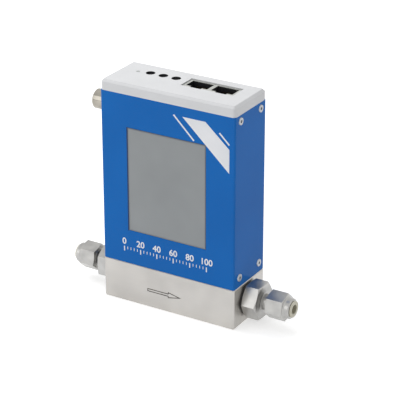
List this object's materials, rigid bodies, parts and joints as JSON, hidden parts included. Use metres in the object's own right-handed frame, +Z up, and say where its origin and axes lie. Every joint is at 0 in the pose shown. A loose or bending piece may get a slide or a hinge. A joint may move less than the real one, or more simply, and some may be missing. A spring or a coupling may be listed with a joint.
{
  "type": "mass flow controller",
  "caption": "Gas mass flow controller: steel flow block with tube fittings at both ends, blue case with a front screen, network jacks and switches on top.",
  "frame": {"origin": "centre of the flow block's bottom face", "axes": "+X along the gas flow from inlet to outlet, -Y out of the screen, +Z up from the block's bottom face"},
  "size_m": [0.1278, 0.0301, 0.1185],
  "materials": {
    "block_steel": "fine ground satin stainless steel",
    "fitting_steel": "turned and polished stainless steel",
    "blue_paint": "satin blue paint on aluminium",
    "cap_grey": "fine matte moulded plastic, pale grey",
    "white_print": "white screen print",
    "screen_window": "coated grey window over an unlit screen",
    "screen_panel": "unlit screen module",
    "foam": "soft foam",
    "board_green": "green solder mask on glass epoxy",
    "black_plastic": "black moulded plastic",
    "screw_steel": "plain stainless steel",
    "chassis_sheet": "bare folded aluminium sheet",
    "tin_plate": "tin-plated sheet",
    "gold_plate": "gold-plated contacts",
    "connector_nickel": "nickel-plated brass",
    "plug_cream": "cream polyethylene plug",
    "seal_rubber": "black rubber",
    "inner_steel": "machined stainless steel",
    "copper_wire": "enamelled copper wire",
    "flex_amber": "amber flexible circuit",
    "lamp_clear": "clear light pipe, unlit"
  },
  "bodies": {
    "root": {"flow_block": "block_steel", "inlet_fitting": "fitting_steel", "outlet_fitting": "fitting_steel", "front_ferrules": "fitting_steel", "back_ferrules": "fitting_steel", "housing": "blue_paint", "top_cap": "cap_grey", "accent_stripe": "white_print", "display_window": "screen_window", "display_panel": "screen_panel", "display_gasket": "foam", "display_board": "board_green", "control_board": "board_green", "interface_board": "board_green", "control_chips": "black_plastic", "board_link": "black_plastic", "network_jack": "black_plastic", "address_switches": "black_plastic", "power_connector_insert": "black_plastic", "valve_bobbin": "black_plastic", "case_screws": "screw_steel", "block_screws": "screw_steel", "board_screws": "screw_steel", "display_standoffs": "screw_steel", "chassis": "chassis_sheet", "sensor_cover": "chassis_sheet", "network_jack_shield": "tin_plate", "network_jack_contacts": "gold_plate", "power_connector_pins": "gold_plate", "power_connector_shell": "connector_nickel", "power_connector_nut": "connector_nickel", "inlet_dust_plug": "plug_cream", "outlet_dust_plug": "plug_cream", "port_seals": "seal_rubber", "sensor_seals": "seal_rubber", "valve_seal": "seal_rubber", "power_connector_seal": "seal_rubber", "sensor_base": "inner_steel", "sensor_tube": "inner_steel", "flow_element": "inner_steel", "inlet_filter": "inner_steel", "valve_seat": "inner_steel", "valve_spring": "inner_steel", "valve_tube": "inner_steel", "valve_can": "inner_steel", "valve_nut": "inner_steel", "sensor_windings": "copper_wire", "valve_winding": "copper_wire", "valve_leads": "copper_wire", "sensor_flex": "flex_amber", "status_lamp": "lamp_clear"},
    "address_rotor_1_body": {"address_rotor_1": "black_plastic"},
    "address_rotor_2_body": {"address_rotor_2": "black_plastic"},
    "address_rotor_3_body": {"address_rotor_3": "black_plastic"},
    "inlet_nut_body": {"inlet_nut": "fitting_steel"},
    "outlet_nut_body": {"outlet_nut": "fitting_steel"},
    "valve_plunger_body": {"valve_plunger": "inner_steel"}
  },
  "joints": [
    {"name": "address_switch_1_turn", "type": "hinge", "parent": "root", "child": "address_rotor_1_body", "pos_m": [-0.0211, 0.0044, 0.111], "axis": [0, 0, 1], "continuous": true},
    {"name": "address_switch_2_turn", "type": "hinge", "parent": "root", "child": "address_rotor_2_body", "pos_m": [-0.0137, 0.0044, 0.111], "axis": [0, 0, 1], "continuous": true},
    {"name": "address_switch_3_turn", "type": "hinge", "parent": "root", "child": "address_rotor_3_body", "pos_m": [-0.0063, 0.0044, 0.111], "axis": [0, 0, 1], "continuous": true},
    {"name": "inlet_nut_turn", "type": "hinge", "parent": "root", "child": "inlet_nut_body", "pos_m": [-0.0555, 0, 0.012], "axis": [-1, 0, 0], "range_deg": [0, 450]},
    {"name": "outlet_nut_turn", "type": "hinge", "parent": "root", "child": "outlet_nut_body", "pos_m": [0.0555, 0, 0.012], "axis": [1, 0, 0], "range_deg": [0, 450]},
    {"name": "valve_plunger_lift", "type": "slide", "parent": "root", "child": "valve_plunger_body", "axis": [0, 0, 1], "range_m": [0, 0.0004], "stiffness_N_per_m": 1000, "springref_m": -0.001, "deforming": ["valve_spring"]}
  ]
}
